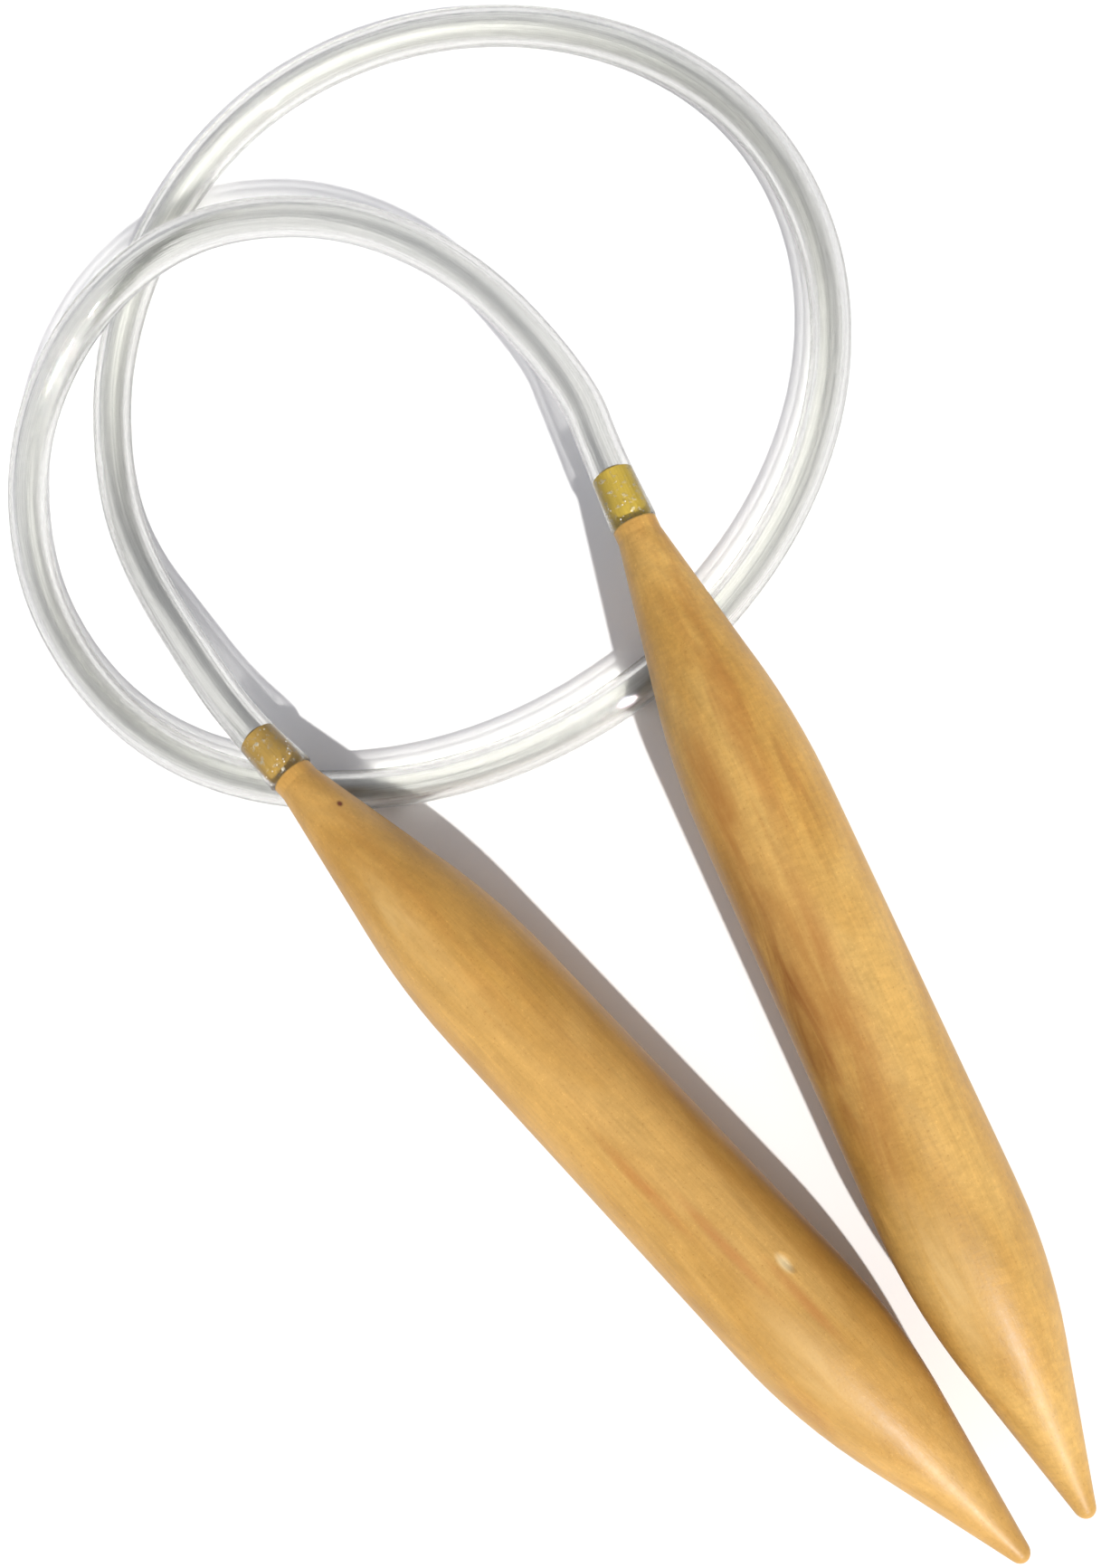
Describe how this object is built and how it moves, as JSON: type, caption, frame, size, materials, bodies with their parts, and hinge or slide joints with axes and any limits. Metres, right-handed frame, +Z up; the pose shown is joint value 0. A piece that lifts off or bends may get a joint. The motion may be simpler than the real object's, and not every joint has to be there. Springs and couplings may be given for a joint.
{
  "type": "circular knitting needle",
  "caption": "Circular knitting needle with thick tapered wooden needle tips joined end to end by a flexible clear tube lying in a loop.",
  "frame": {"origin": "on the table, below the centre of the box round the two needle tips", "axes": "+Y from the needle points towards the tails and the tube's loop, halfway between the tips; +Z up from the table"},
  "size_m": [0.1852, 0.322, 0.028],
  "materials": {
    "left_wood": "satin lacquer",
    "right_wood": "satin lacquer",
    "clear_tube": "clear and glossy",
    "glue": "clear, with small bubbles"
  },
  "bodies": {
    "cord": {"tube": "clear_tube"},
    "left": {"left_tip": "left_wood", "left_glue": "glue"},
    "right": {"right_tip": "right_wood", "right_glue": "glue"}
  },
  "joints": [
    {"name": "left_bend", "type": "hinge", "parent": "cord", "child": "left", "pos_m": [-0.04628, 0.11515, 0.01535], "axis": [0, 0, -1], "range_deg": [0, 60], "stiffness_Nm_per_rad": 0.035, "deforming": ["tube"]},
    {"name": "right_bend", "type": "hinge", "parent": "cord", "child": "right", "pos_m": [0.04628, 0.11514, 0.01881], "axis": [0, 0, 1], "range_deg": [0, 60], "stiffness_Nm_per_rad": 0.035, "deforming": ["tube"]}
  ]
}
